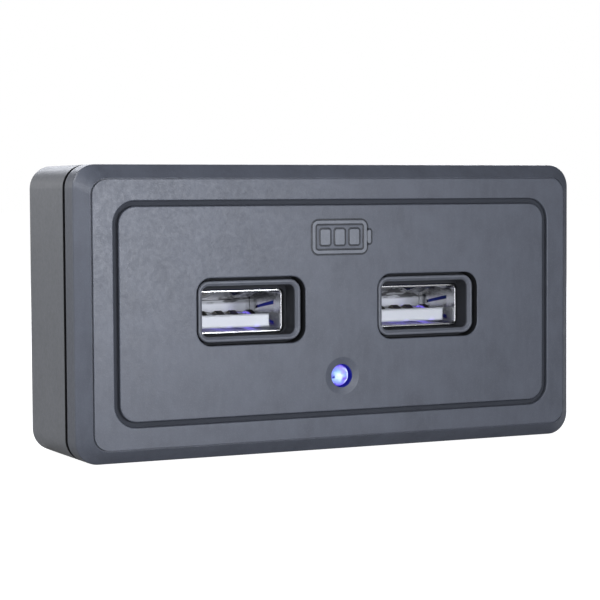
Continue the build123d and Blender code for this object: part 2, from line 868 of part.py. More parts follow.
def build_parts():
    """Every node of the socket, by name."""
    parts = {
        "front_cover": make_front_cover(),
        "rear_housing": make_rear_housing(),
        "port_carrier": make_port_carrier(),
        "circuit_board": make_circuit_board(),
        "board_screws": make_board_screws(),
        "cable_grommet": make_cable_grommet(),
        "status_led": make_status_led(),
        "led_leads": make_led_leads(),
        "led_spacer": make_led_spacer(),
        "coil_core": make_coil_core(),
        "coil_winding": make_coil_winding(),
        "input_capacitor": make_can(*input_can),
        "output_capacitors": Compound([make_can(*can) for can in output_cans]),
        "converter_chip": make_legged_chip(converter_x, converter_z, converter_body,
                                           converter_legs, converter_pitch),
        "charge_control_chip": make_legged_chip(control_x, control_z, control_body,
                                                control_legs, control_pitch),
        "protection_diode": make_wrapped_chip(diode_x, diode_z, diode_body),
        "input_fuse": make_wrapped_chip(fuse_x, fuse_z, fuse_body),
        "chip_resistors": Compound([make_wrapped_chip(x, z, resistor_body)
                                    for x, z in resistor_places]),
        "chip_capacitors": Compound([make_wrapped_chip(x, z, capacitor_body)
                                     for x, z in capacitor_places]),
        "terminal_block": make_terminal_block(),
        "terminal_clamps": make_terminal_clamps(),
        "terminal_screws": make_terminal_screws(),
    }
    for side, x in zip(("left", "right"), socket_x):
        parts["usb_shell_" + side] = make_usb_shell(x)
        parts["usb_insulator_" + side] = make_usb_insulator(x)
        parts["usb_contacts_" + side] = make_usb_contacts(x)
    return parts


os.makedirs("parts", exist_ok=True)
for name, shape in build_parts().items():
    export_step(shape, "parts/" + name + ".step")
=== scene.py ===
import math

import bmesh
import bpy
from mathutils import Matrix, Vector


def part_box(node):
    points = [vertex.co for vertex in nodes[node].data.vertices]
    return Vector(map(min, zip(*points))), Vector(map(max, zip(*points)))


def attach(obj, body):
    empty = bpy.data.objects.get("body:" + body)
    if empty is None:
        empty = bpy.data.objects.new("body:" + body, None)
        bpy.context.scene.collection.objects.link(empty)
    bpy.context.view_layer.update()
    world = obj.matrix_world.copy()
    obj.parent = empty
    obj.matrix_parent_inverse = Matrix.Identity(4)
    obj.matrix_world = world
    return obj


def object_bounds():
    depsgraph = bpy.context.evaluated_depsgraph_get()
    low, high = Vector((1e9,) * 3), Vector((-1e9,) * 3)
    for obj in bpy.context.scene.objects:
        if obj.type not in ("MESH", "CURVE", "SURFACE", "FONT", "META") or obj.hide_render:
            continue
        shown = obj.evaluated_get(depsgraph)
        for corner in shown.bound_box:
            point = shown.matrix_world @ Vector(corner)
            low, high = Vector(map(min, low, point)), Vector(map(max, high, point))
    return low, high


# Dual USB charging socket standing on a pale floor, all lengths in metres.
# The frame has +X along the box, the front face towards -Y and +Z up.
MM = 0.001

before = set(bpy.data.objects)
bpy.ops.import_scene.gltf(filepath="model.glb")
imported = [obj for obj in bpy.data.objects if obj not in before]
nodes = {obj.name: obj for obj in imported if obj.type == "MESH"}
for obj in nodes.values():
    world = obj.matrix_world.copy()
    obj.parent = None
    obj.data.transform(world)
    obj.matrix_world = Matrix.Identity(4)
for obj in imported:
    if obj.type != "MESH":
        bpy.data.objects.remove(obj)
cad_low, cad_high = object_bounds()

# Places read from the frame
FACE_Y = cad_low.y
FLOOR_Z = cad_low.z
LAMP_LOW, LAMP_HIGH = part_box("status_led")
LAMP_Z = (LAMP_LOW.z + LAMP_HIGH.z) / 2

# Inside of the box: its half sizes, and the depths below the face where it ends
INNER_HALF_WIDTH = 34.5 * MM
INNER_HALF_HEIGHT = 16.7 * MM
INNER_DEPTHS = (17.25 * MM, 17.35 * MM)
INNER_SOFTNESS = 0.05 * MM

# Span of values that most of a noise lies in
NOISE_RANGE = (0.3, 0.7)

# Colours, linear
BLACK = (0.0, 0.0, 0.0)
WHITE = (1.0, 1.0, 1.0)
COVER_COLOUR = (0.103, 0.113, 0.139)
HOUSING_COLOUR = (0.120, 0.126, 0.139)
RIM_COLOUR = (0.152, 0.162, 0.188)
SIGN_COLOUR = (0.185, 0.198, 0.225)
SIGN_PAINTED_SHADOW = (0.030, 0.034, 0.042)

# Tone of the moulded plastic: sizes of its patches, and how far they depart from the colour
CLOUD_SIZE = 4.5 * MM
CLOUD_SWING = 0.09
STREAK_SIZE = 0.9 * MM
STREAK_STRETCH = (1.0, 1.0, 0.35)
STREAK_RANGE = (0.4, 0.75)
STREAK_SHARE = 0.5
STREAK_SWING = 0.16
SPECK_SIZE = 0.154 * MM
SPECK_RANGE = (0.5, 0.8)
SPECK_SHARE = 0.35
SPECK_LIGHTNESS = 1.5
COVER_MOTTLE = 1.3
HOUSING_MOTTLE = 0.6

# Gloss and grain of the moulded plastic
PLASTIC_IOR = 1.5
PLASTIC_ROUGHNESS = (0.36, 0.45)
GLOSS_SIZE = 0.5 * MM
GRAIN_SIZE = 0.22 * MM
GRAIN_DEPTH = 0.010 * MM
PLASTIC_EDGE = 0.12 * MM
EDGE_SAMPLES = 6

# Painted shade in the recesses of the cover: the frame groove and the walls of the windows lie
# inside these half sizes. The painted shade starts and is full at these depths; the shares are
# the colour kept.
RECESS_HALF_WIDTH = 33.5 * MM
RECESS_HALF_HEIGHT = 15.6 * MM
RECESS_DEPTHS = (0.24 * MM, 0.44 * MM)
RECESS_SHADE_SHARE = 0.50
RECESS_ROUGHNESS = 0.90
WINDOW_HALF_WIDTH = 22.0 * MM
WINDOW_HALF_HEIGHT = 5.5 * MM
WINDOW_DEPTHS = (0.07 * MM, 0.16 * MM)
WINDOW_SHADE_SHARE = 0.08
BORDER_SOFTNESS = 0.2 * MM

# The cover's skirt below the bevel, and the painted shade of the parting gap in front of the
# housing, each with its depths and the share of the colour that it keeps
BAND_DEPTHS = (1.9 * MM, 2.3 * MM)
BAND_SHARE = 0.80
GAP_DEPTHS = (5.72 * MM, 5.82 * MM)
GAP_SHADE_SHARE = 0.15

# Port rims: front faces inside these half sizes, and painted shade on the flanks round them and
# in the mouth
WINDOW_X = 13.15 * MM
RIM_HALF_WIDTH = 7.25 * MM
RIM_HALF_HEIGHT = 3.87 * MM
RIM_SOFTNESS = 0.03 * MM
FLANK_DEPTHS = (0.66 * MM, 0.78 * MM)
MOUTH_DEPTHS = (0.95 * MM, 1.35 * MM)
MOUTH_SHADE_SHARE = 0.22

# Plated surfaces: rolling marks along the depth; how far tone and roughness swing with them
ROLLING_SIZE = 0.05 * MM
ROLLING_STRETCH = (1.0, 0.08, 1.0)
ROLLING_DEPTH = 0.002 * MM
PLATED_EDGE = 0.05 * MM
PLATED_DARK_SHARE = 0.9
PLATED_ROUGHNESS_SWING = (-0.05, 0.07)

# Plating of the socket shells and of the contacts: darker and lighter tone, and roughness
SHELL_TONES = ((0.74, 0.74, 0.73), (0.82, 0.82, 0.81))
SHELL_ROUGHNESS = 0.22
# The contacts' tones are kept dark as painted shade
CONTACT_SHADED_TONES = ((0.20, 0.18, 0.15), (0.27, 0.24, 0.20))
CONTACT_ROUGHNESS = 0.33

# Grained surfaces: size of the patches of tone in grains, and how far tone and roughness swing
PATCH_GRAINS = 4
GRAINED_EDGE = 0.06 * MM
GRAINED_SWING = 0.10
GRAINED_ROUGHNESS_SWING = (-0.05, 0.06)

# Rubber of the cable's grommet
RUBBER_COLOUR = (0.022, 0.022, 0.024)
RUBBER_GRAIN_SIZE = 0.2 * MM
RUBBER_GRAIN_DEPTH = 0.01 * MM
RUBBER_ROUGHNESS = 0.70

# White moulding of the sockets: darker and lighter tone, patches, grain and roughness
INSULATOR_TONES = ((0.86, 0.88, 0.92), (0.90, 0.92, 0.96))
INSULATOR_PATCH_SIZE = 0.4 * MM
INSULATOR_GRAIN_SIZE = 0.1 * MM
INSULATOR_GRAIN_DEPTH = 0.003 * MM
INSULATOR_ROUGHNESS = (0.30, 0.41)

# Plated parts: material, colour, roughness and the nodes that have it
PLATED_PARTS = (
    ("screw_zinc", (0.66, 0.66, 0.64), 0.30, ("board_screws", "terminal_screws")),
    ("lead_tin", (0.70, 0.70, 0.69), 0.30, ("led_leads",)),
    ("coil_copper", (0.75, 0.34, 0.16), 0.28, ("coil_winding",)),
    ("clamp_brass", (0.78, 0.64, 0.38), 0.28, ("terminal_clamps",)),
)

# Grained parts: material, colour, size and depth of the grain, roughness and the nodes
GRAINED_PARTS = (
    ("board_mask", (0.02, 0.13, 0.06), 0.15 * MM, 0.004 * MM, 0.35, ("circuit_board",)),
    ("spacer_black", (0.03, 0.03, 0.03), 0.2 * MM, 0.01 * MM, 0.55, ("led_spacer",)),
    ("coil_ferrite", (0.06, 0.06, 0.062), 0.12 * MM, 0.01 * MM, 0.60, ("coil_core",)),
    ("can_sleeve", (0.02, 0.02, 0.035), 0.3 * MM, 0.004 * MM, 0.30,
     ("input_capacitor", "output_capacitors")),
    ("chip_epoxy", (0.03, 0.03, 0.032), 0.1 * MM, 0.006 * MM, 0.60,
     ("converter_chip", "charge_control_chip", "protection_diode")),
    ("fuse_ceramic", (0.70, 0.68, 0.62), 0.1 * MM, 0.004 * MM, 0.50, ("input_fuse",)),
    ("resistor_ceramic", (0.05, 0.05, 0.05), 0.1 * MM, 0.004 * MM, 0.40, ("chip_resistors",)),
    ("capacitor_ceramic", (0.42, 0.29, 0.18), 0.1 * MM, 0.004 * MM, 0.45, ("chip_capacitors",)),
    ("terminal_green", (0.04, 0.22, 0.09), 0.2 * MM, 0.008 * MM, 0.45, ("terminal_block",)),
)

# Colours in the lit lamp
LAMP_WHITE = (0.80, 0.95, 1.0)
LAMP_CYAN = (0.34, 0.70, 1.0)
LAMP_LILAC = (0.44, 0.36, 0.95)
LAMP_VIOLET = (0.26, 0.16, 0.92)
LAMP_BLUE = (0.010, 0.012, 0.34)
LAMP_EPOXY = (0.02, 0.03, 0.2)
LAMP_ROUGHNESS = 0.08

# Patches of colour in the lamp, as (along, up, inner radius, outer radius, colour) in
# millimetres from its middle. Each is full inside the first radius and gone at the second.
LAMP_PATCHES = (
    (-0.25, 0.0, 0.5, 1.3, LAMP_CYAN),
    (-0.30, -0.10, 0.22, 0.85, LAMP_WHITE),
    (0.05, 0.85, 0.10, 0.55, LAMP_LILAC),
    (0.35, -0.45, 0.10, 0.60, LAMP_VIOLET),
    (0.25, 0.40, 0.05, 0.40, LAMP_LILAC),
    (-1.05, -0.20, 0.05, 0.30, LAMP_BLUE),
)

# Painted white highlight arc on the lens round the patches, where its right side starts, and the
# blue rim
LAMP_HIGHLIGHT_INNER = (0.75 * MM, 0.95 * MM)
LAMP_HIGHLIGHT_OUTER = (1.10 * MM, 1.30 * MM)
LAMP_HIGHLIGHT_RIGHT = (0.3 * MM, 0.8 * MM)
LAMP_RIM = (1.26 * MM, 1.46 * MM)

# How far the pattern wavers along X, and over what size
LAMP_WOBBLE = 0.22 * MM
LAMP_WOBBLE_SIZE = 0.55 * MM

# Painted light: emission and dark colour that stand in for the light the lamp throws on what is
# round it
BORE_PAINTED_GLOW = (0.0, 0.002, 0.17)
BORE_PAINTED_SHADE = (0.004, 0.005, 0.02)
BORE_RADII = (1.58 * MM, 1.62 * MM)
BORE_DEPTHS = (0.20 * MM, 0.24 * MM)
INSIDE_PAINTED_GLOW = (0.012, 0.010, 0.115)
TONGUE_PAINTED_GLOW = (0.30, 0.29, 0.60)
SPOT_PAINTED_GLOW = (0.18, 0.13, 0.80)

# Reach of that painted light inside the box, from the lamp along the box
PAINTED_GLOW_REACH = (21.0 * MM, 27.0 * MM)

# Where the painted light shows in a socket: the tongue's glowing lower edge, and round spots as
# (along, up, size) from the socket's middle, on the tongue and on the outermost contact.
# The core of a spot is the share of its size in which it is full.
TONGUE_LOW = (-2.80 * MM, -2.45 * MM)
TINT_SIZE = 1.6 * MM
TINT_RANGE = (0.35, 0.65)
TINT_LEAST = 0.45
PAINTED_LEAK_SPOTS = ((3.6 * MM, -2.55 * MM, 0.55 * MM), (-0.4 * MM, -2.75 * MM, 0.60 * MM))
LEAK_CORE = 0.2
CONTACT_PAINTED_SPOT = (3.00 * MM, -0.80 * MM, 0.36 * MM)
CONTACT_CORE = 0.3

# Painted dark reflections of the spring fingers on the shell's ceiling, and their painted shadow
# on the white
# moulding: their slant and stretch, and the heights where they start on the ceiling and on the
# moulding
FINGER_SIZE = 0.9 * MM
FINGER_SLANT = (0.0, 0.6, 0.0)
FINGER_STRETCH = (0.35, 0.35, 1.6)
FINGER_RANGE = (0.42, 0.56)
CEILING_HEIGHTS = (1.0 * MM, 1.9 * MM)
CEILING_DEPTHS = (4.6 * MM, 4.9 * MM)
CEILING_PAINTED_REFLECTION = (0.10, 0.10, 0.11)
SHADE_HEIGHTS = (0.15 * MM, 0.45 * MM)
SHADE_LEAST = 0.55
SHADE_DARK = (0.03, 0.03, 0.035)

# Battery pictogram on the face: outline, terminal and three bars, with dark feet of painted
# shadow
SIGN_Z = 9.42 * MM
SIGN_WIDTH = 8.2 * MM
SIGN_HEIGHT = 4.5 * MM
SIGN_RADIUS = 0.9 * MM
SIGN_STROKE = 0.55 * MM
SIGN_RISE = 0.09 * MM
SIGN_SLOPE = 0.06 * MM
SIGN_ROOT = 0.10 * MM
# Width and rise of the dark feet of painted shadow round the strokes
SHADOW_FOOT_WIDTH = 0.18 * MM
SHADOW_FOOT_RISE = 0.015 * MM
BAR_COUNT = 3
BAR_GAP = 0.62 * MM
BAR_RADIUS = 0.3 * MM
TERMINAL_WIDTH = 0.62 * MM
TERMINAL_HEIGHT = 1.9 * MM
TERMINAL_RADIUS = 0.28 * MM
CORNER_STEPS = 8
CREST, SHADOW_FOOT = 0, 1

# Camera, fitted to the straight edges of the photograph
CAMERA_PLACE = Vector((-0.1191458, -0.2500739, 0.014874))
CAMERA_RIGHT = Vector((0.898154, -0.439646, -0.005509))
CAMERA_UP = Vector((0.028271, 0.045242, 0.998576))
CAMERA_BACK = Vector((-0.438771, -0.897031, 0.053064))
CAMERA_FOCAL_PIXELS = 1959.3
CAMERA_CLIP = (0.01, 20.0)
PICTURE_PIXELS = 600
SENSOR_MM = 36.0

# Levels of the surroundings, as each kind of ray finds them. Gloss sees a white backdrop
# behind the part: it comes in over a span of the direction's Y and goes out over one of its Z.
WORLD_SHOWN = 1.0
WORLD_FILL = 0.12
WORLD_GLOSS = 0.03
BACKDROP_LEVEL = 1.0
BACKDROP_EDGE = (0.60, 0.85)
BACKDROP_TOP = (0.15, 0.35)
FLOOR_HALF = 4.0
FLOOR_COLOUR = (0.35, 0.35, 0.35)
FLOOR_SHOWN = 0.97
FLOOR_GLOSS = 0.10

# Lights: name, place, target, size, power in watts and colour
COOL = (0.935, 0.965, 1.045)
MIDDLE = (0.0, 0.0, 0.0)
FACE_MIDDLE = (0.0, -0.01, 0.0)
FACE_LEFT = (-0.01, -0.01, 0.0)
LEFT_END = (-0.037, -0.01, 0.0)
LIGHTS = (
    ("softbox", (0.100, -0.350, 0.020), FACE_MIDDLE, (0.06, 0.06), 0.30, COOL),
    ("near_left", (-0.022, -0.120, 0.006), FACE_LEFT, (0.05, 0.05), 0.049, COOL),
    ("left_front", (-0.150, -0.070, 0.050), LEFT_END, (0.05, 0.05), 0.049, COOL),
    ("left_card", (-0.150, 0.005, 0.100), LEFT_END, (0.08, 0.08), 0.14, WHITE),
    ("back_top", (0.060, 0.340, 0.230), MIDDLE, (0.25, 0.20), 0.7, COOL),
    ("back_right", (0.300, 0.300, 0.220), MIDDLE, (0.20, 0.20), 1.1, COOL),
)


def scaled(colour, share):
    """Colour with each channel times a share."""
    return tuple(share * channel for channel in colour)


def feed(tree, socket, value):
    """Links an input to another node's output, or gives it a fixed value."""
    if isinstance(value, bpy.types.NodeSocket):
        tree.links.new(value, socket)
    elif isinstance(value, tuple) and len(value) == 3 and socket.type == "RGBA":
        socket.default_value = (*value, 1.0)
    else:
        socket.default_value = value


def map_range(tree, value, low, high, span=(0.0, 1.0)):
    """Maps a value that runs over a span to low..high."""
    made = tree.nodes.new("ShaderNodeMapRange")
    feed(tree, made.inputs["Value"], value)
    feed(tree, made.inputs["From Min"], span[0])
    feed(tree, made.inputs["From Max"], span[1])
    feed(tree, made.inputs["To Min"], low)
    feed(tree, made.inputs["To Max"], high)
    return made.outputs["Result"]


class Shader:
    """Builds one node material around a Principled surface."""

    def __init__(self, name):
        self.material = bpy.data.materials.new(name)
        self.material.use_nodes = True
        self.tree = self.material.node_tree
        self.surface = self.tree.nodes["Principled BSDF"]
        self.place = self.node("ShaderNodeTexCoord").outputs["Object"]

    def node(self, kind, settings=None, **inputs):
        """New node with its settings and inputs."""
        made = self.tree.nodes.new(kind)
        for name, value in (settings or {}).items():
            setattr(made, name, value)
        for name, value in inputs.items():
            feed(self.tree, made.inputs[name], value)
        return made

    def set(self, name, value):
        """Feeds an input of the surface."""
        feed(self.tree, self.surface.inputs[name], value)

    def noise(self, size, detail=2.0, place=None):
        """Noise whose patches are about `size` metres across."""
        made = self.node("ShaderNodeTexNoise", Vector=place or self.place, Scale=1.0 / size,
                         Detail=detail)
        return made.outputs["Fac"]

    def stretched(self, scale, turn=(0.0, 0.0, 0.0)):
        """Object place turned and scaled, for streaks."""
        made = self.node("ShaderNodeMapping", Vector=self.place, Rotation=turn, Scale=scale)
        return made.outputs["Vector"]

    def ramp(self, value, low, high, span=(0.0, 1.0)):
        """Maps a value that runs over a span to low..high."""
        return map_range(self.tree, value, low, high, span)

    def swing(self, noise, middle, offsets):
        """Value that follows a noise between two offsets from its middle."""
        low, high = offsets
        return self.ramp(noise, middle + low, middle + high, NOISE_RANGE)

    def rise(self, value, span):
        """Goes from 0 to 1 over a span of values."""
        return self.ramp(value, 0.0, 1.0, span)

    def fall(self, value, span):
        """Goes from 1 to 0 over a span of values."""
        return self.ramp(value, 1.0, 0.0, span)

    def mix(self, share, first, second):
        """Colour between the first one (share 0) and the second one (share 1)."""
        made = self.node("ShaderNodeMix", {"data_type": "RGBA"})
        colour_a, colour_b = [socket for socket in made.inputs if socket.type == "RGBA"]
        feed(self.tree, made.inputs["Factor"], share)
        feed(self.tree, colour_a, first)
        feed(self.tree, colour_b, second)
        return next(socket for socket in made.outputs if socket.type == "RGBA")

    def maths(self, operation, first, second=0.0):
        made = self.node("ShaderNodeMath", {"operation": operation})
        for socket, value in zip(made.inputs, (first, second)):
            feed(self.tree, socket, value)
        return made.outputs["Value"]

    def times(self, first, second):
        return self.maths("MULTIPLY", first, second)

    def relief(self, height, depth, edge):
        """Bump whose full swing is `depth` metres, with sharp edges rounded by `edge`."""
        rounded = self.node("ShaderNodeBevel", {"samples": EDGE_SAMPLES}, Radius=edge)
        made = self.node("ShaderNodeBump", Height=height, Distance=depth, Strength=1.0,
                         Normal=rounded.outputs["Normal"])
        self.set("Normal", made.outputs["Normal"])

    def axes(self):
        """Object place along X, depth below the face, and height."""
        apart = self.node("ShaderNodeSeparateXYZ", Vector=self.place)
        depth = self.maths("SUBTRACT", apart.outputs["Y"], FACE_Y)
        return apart.outputs["X"], depth, apart.outputs["Z"]

    def inside(self, x, z, half_width, half_height, softness=BORDER_SOFTNESS):
        """1 inside a rectangle about the middle of the face, 0 outside it."""
        across = self.maths("SUBTRACT", self.maths("ABSOLUTE", x), half_width)
        upward = self.maths("SUBTRACT", self.maths("ABSOLUTE", z), half_height)
        return self.fall(self.maths("MAXIMUM", across, upward), (-softness, softness))

    def distance(self, x, z, middle_x, middle_z):
        """Distance in the face plane from a point."""
        across = self.maths("SUBTRACT", x, middle_x)
        upward = self.maths("SUBTRACT", z, middle_z)
        return self.maths("SQRT", self.maths("ADD", self.times(across, across),
                                             self.times(upward, upward)))

    def lamp_reach(self):
        """1 near the lamp, 0 towards the ends of the box, for the painted glow of the lamp."""
        return self.fall(self.maths("ABSOLUTE", self.axes()[0]), PAINTED_GLOW_REACH)

    def painted_finger_streaks(self):
        """Slanting dark and light streaks for the painted reflections and shadows of the spring
        fingers.
        """
        place = self.stretched(FINGER_STRETCH, FINGER_SLANT)
        return self.rise(self.noise(FINGER_SIZE, place=place), FINGER_RANGE)


def moulded_plastic(name, colour, mottle=1.0):
    """Matt moulded plastic: spark-eroded grain, cloudy flow tone and fine specks.

    Gives the shader with its tone and gloss, for the recesses to change them.
    """
    look = Shader(name)
    clouds = look.noise(CLOUD_SIZE, detail=3.0)
    streaks = look.noise(STREAK_SIZE, place=look.stretched(STREAK_STRETCH))
    specks = look.noise(SPECK_SIZE, detail=1.0)
    tone = look.mix(look.rise(clouds, NOISE_RANGE), scaled(colour, 1 - CLOUD_SWING * mottle),
                    scaled(colour, 1 + CLOUD_SWING * mottle))
    tone = look.mix(look.ramp(streaks, 0.0, STREAK_SHARE, STREAK_RANGE), tone,
                    scaled(colour, 1 + STREAK_SWING * mottle))
    tone = look.mix(look.ramp(specks, 0.0, SPECK_SHARE, SPECK_RANGE), tone,
                    scaled(colour, SPECK_LIGHTNESS))
    gloss = look.ramp(look.noise(GLOSS_SIZE), *PLASTIC_ROUGHNESS, NOISE_RANGE)
    look.set("Base Color", tone)
    look.set("Roughness", gloss)
    look.set("IOR", PLASTIC_IOR)
    look.relief(look.noise(GRAIN_SIZE), GRAIN_DEPTH, PLASTIC_EDGE)
    return look, tone, gloss


def cover_plastic():
    """Cover plastic with painted shade in its recesses, and painted shade and painted blue lamp
    light in the bore of the lamp.
    """
    look, tone, gloss = moulded_plastic("cover_plastic", COVER_COLOUR, COVER_MOTTLE)
    x, depth, z = look.axes()
    tone = look.mix(look.rise(depth, BAND_DEPTHS), tone, scaled(COVER_COLOUR, BAND_SHARE))
    framed = look.inside(x, z, RECESS_HALF_WIDTH, RECESS_HALF_HEIGHT)
    windows = look.inside(x, z, WINDOW_HALF_WIDTH, WINDOW_HALF_HEIGHT)
    # Painted shade in the frame groove and on the walls of the windows
    groove_shade = look.times(framed, look.rise(depth, RECESS_DEPTHS))
    walls = look.times(windows, look.rise(depth, WINDOW_DEPTHS))
    recess_shade = look.maths("MAXIMUM", groove_shade, walls)
    share = look.ramp(windows, RECESS_SHADE_SHARE, WINDOW_SHADE_SHARE)
    tone = look.mix(recess_shade, tone, look.mix(share, BLACK, COVER_COLOUR))
    # Painted shade and painted blue light of the lamp in its bore
    near = look.fall(look.distance(x, z, 0.0, LAMP_Z), BORE_RADII)
    painted_bore_light = look.times(near, look.rise(depth, BORE_DEPTHS))
    look.set("Base Color", look.mix(painted_bore_light, tone, BORE_PAINTED_SHADE))
    look.set("Roughness", look.ramp(recess_shade, gloss, RECESS_ROUGHNESS))
    look.set("Emission Color", BORE_PAINTED_GLOW)
    look.set("Emission Strength", painted_bore_light)
    return look.material


def housing_plastic():
    """Housing plastic with painted shade in the parting gap and a painted blue glow of the lamp
    on its inner walls.
    """
    look, tone, _ = moulded_plastic("housing_plastic", HOUSING_COLOUR, HOUSING_MOTTLE)
    x, depth, z = look.axes()
    # Painted shade in the parting gap
    gap_shade = look.fall(depth, GAP_DEPTHS)
    look.set("Base Color", look.mix(gap_shade, tone, scaled(HOUSING_COLOUR, GAP_SHADE_SHARE)))
    # Painted blue glow of the lamp on the inner walls
    walls = look.inside(x, z, INNER_HALF_WIDTH, INNER_HALF_HEIGHT, INNER_SOFTNESS)
    inner = look.times(walls, look.fall(depth, INNER_DEPTHS))
    look.set("Emission Color", INSIDE_PAINTED_GLOW)
    look.set("Emission Strength", look.times(inner, look.lamp_reach()))
    return look.material


def rim_plastic():
    """Plastic of the port rims: light at the front, with painted shade in the mouth and on the
    flanks.
    """
    look, tone, gloss = moulded_plastic("rim_plastic", RIM_COLOUR)
    x, depth, z = look.axes()
    along = look.maths("ABSOLUTE", look.maths("SUBTRACT", look.maths("ABSOLUTE", x), WINDOW_X))
    front = look.inside(along, z, RIM_HALF_WIDTH, RIM_HALF_HEIGHT, RIM_SOFTNESS)
    # Painted shade on the flanks and in the mouth
    flank_shade = look.times(look.ramp(front, 1.0, 0.0), look.rise(depth, FLANK_DEPTHS))
    painted_shade = look.maths("MAXIMUM", look.rise(depth, MOUTH_DEPTHS), flank_shade)
    look.set("Base Color", look.mix(painted_shade, tone, scaled(RIM_COLOUR, MOUTH_SHADE_SHARE)))
    look.set("Roughness", look.ramp(painted_shade, gloss, RECESS_ROUGHNESS))
    return look.material


def plated_surface(name, tones, roughness):
    """Plated sheet metal with fine rolling marks along the depth; gives shader and tone."""
    look = Shader(name)
    marks = look.noise(ROLLING_SIZE, place=look.stretched(ROLLING_STRETCH))
    tone = look.mix(marks, *tones)
    look.set("Metallic", 1.0)
    look.set("Base Color", tone)
    look.set("Roughness", look.swing(marks, roughness, PLATED_ROUGHNESS_SWING))
    look.relief(marks, ROLLING_DEPTH, PLATED_EDGE)
    return look, tone


def plated_metal(name, colour, roughness):
    tones = (scaled(colour, PLATED_DARK_SHARE), colour)
    return plated_surface(name, tones, roughness)[0].material


def shell_plating():
    """Bright plating; up under the ceiling it has painted dark streaks as reflections of the
    spring fingers.
    """
    look, tone = plated_surface("shell_plating", SHELL_TONES, SHELL_ROUGHNESS)
    _, depth, z = look.axes()
    # Painted dark reflections of the spring fingers under the ceiling
    ceiling_reflection = look.times(look.rise(z, CEILING_HEIGHTS), look.rise(depth, CEILING_DEPTHS))
    look.set("Base Color", look.mix(look.times(ceiling_reflection, look.painted_finger_streaks()), tone, CEILING_PAINTED_REFLECTION))
    return look.material


def contact_plating(socket_x):
    """Contact plating kept dark as painted shade; the outermost contact has a painted spot of the
    lamp's light.
    """
    look, _ = plated_surface("contact_plating", CONTACT_SHADED_TONES, CONTACT_ROUGHNESS)
    x, _, z = look.axes()
    along, up, size = CONTACT_PAINTED_SPOT
    away = look.distance(x, z, socket_x + along, up)
    # Painted spot of the lamp's light on the outermost contact
    look.set("Emission Color", SPOT_PAINTED_GLOW)
    look.set("Emission Strength", look.fall(away, (CONTACT_CORE * size, size)))
    return look.material


def plain_grain(name, colour, grain, depth, roughness, glow=INSIDE_PAINTED_GLOW):
    """Grained surface of one colour: laminate, ceramic, ferrite, sleeve or rubber.

    The parts inside the box get a painted blue glow that stands in for the lamp's light behind
    them.
    """
    look = Shader(name)
    patches = look.noise(PATCH_GRAINS * grain, detail=3.0)
    look.set("Base Color", look.mix(patches, scaled(colour, 1 - GRAINED_SWING),
                                    scaled(colour, 1 + GRAINED_SWING)))
    look.set("Roughness", look.swing(patches, roughness, GRAINED_ROUGHNESS_SWING))
    look.relief(look.noise(grain), depth, GRAINED_EDGE)
    # Painted blue glow of the lamp, fading towards the ends of the box
    look.set("Emission Color", glow)
    look.set("Emission Strength", look.lamp_reach())
    return look.material


def grommet_rubber():
    """Black rubber round the cable; it gets no painted glow of the lamp."""
    return plain_grain("grommet_rubber", RUBBER_COLOUR, RUBBER_GRAIN_SIZE, RUBBER_GRAIN_DEPTH,
                       RUBBER_ROUGHNESS, BLACK)


def lit_lamp():
    """Clear blue epoxy lit from inside: white core, cyan and violet patches, a painted white
    highlight arc on its right, blue rim.
    """
    look = Shader("lamp_epoxy")
    x, _, z = look.axes()
    wobble = look.noise(LAMP_WOBBLE_SIZE, detail=3.0)
    x = look.maths("ADD", x, look.ramp(wobble, -LAMP_WOBBLE, LAMP_WOBBLE, NOISE_RANGE))
    glow = LAMP_VIOLET
    for along, up, inner, outer, colour in LAMP_PATCHES:
        away = look.distance(x, z, along * MM, LAMP_Z + up * MM)
        glow = look.mix(look.fall(away, (inner * MM, outer * MM)), glow, colour)
    ring = look.distance(x, z, 0.0, LAMP_Z)
    # Painted white highlight on the right of the lens
    highlight_arc = look.times(look.rise(ring, LAMP_HIGHLIGHT_INNER), look.fall(ring, LAMP_HIGHLIGHT_OUTER))
    glow = look.mix(look.times(highlight_arc, look.rise(x, LAMP_HIGHLIGHT_RIGHT)), glow, LAMP_WHITE)
    glow = look.mix(look.rise(ring, LAMP_RIM), glow, LAMP_BLUE)
    look.set("Base Color", LAMP_EPOXY)
    look.set("Roughness", LAMP_ROUGHNESS)
    look.set("Emission Color", glow)
    look.set("Emission Strength", 1.0)
    return look.material


def white_insulator(socket_x):
    """White moulding with a painted glow where the lamp's light would leak in through the shell,
    and a painted shadow of the spring fingers towards its top.
    """
    look = Shader("insulator_white")
    x, _, z = look.axes()
    patches = look.noise(INSULATOR_PATCH_SIZE, detail=3.0)
    white = look.mix(patches, *INSULATOR_TONES)
    # Painted shadow of the spring fingers towards the top
    painted_shade = look.maths("MAXIMUM", look.painted_finger_streaks(), SHADE_LEAST)
    shade = look.times(look.rise(z, SHADE_HEIGHTS), painted_shade)
    look.set("Base Color", look.mix(shade, white, SHADE_DARK))
    look.set("Roughness", look.ramp(patches, *INSULATOR_ROUGHNESS, NOISE_RANGE))
    look.relief(look.noise(INSULATOR_GRAIN_SIZE), INSULATOR_GRAIN_DEPTH, GRAINED_EDGE)
    # Painted glow of the lamp on the tongue's lower edge and in round spots
    tint = look.ramp(look.noise(TINT_SIZE), TINT_LEAST, 1.0, TINT_RANGE)
    glow = look.mix(look.times(look.fall(z, TONGUE_LOW), tint), BLACK, TONGUE_PAINTED_GLOW)
    for along, up, size in PAINTED_LEAK_SPOTS:
        away = look.distance(x, z, socket_x + along, up)
        glow = look.mix(look.fall(away, (LEAK_CORE * size, size)), glow, SPOT_PAINTED_GLOW)
    look.set("Emission Color", glow)
    look.set("Emission Strength", 1.0)
    return look.material


def dress(material, *names):
    """Gives CAD nodes their material."""
    for name in names:
        nodes[name].data.materials.clear()
        nodes[name].data.materials.append(material)


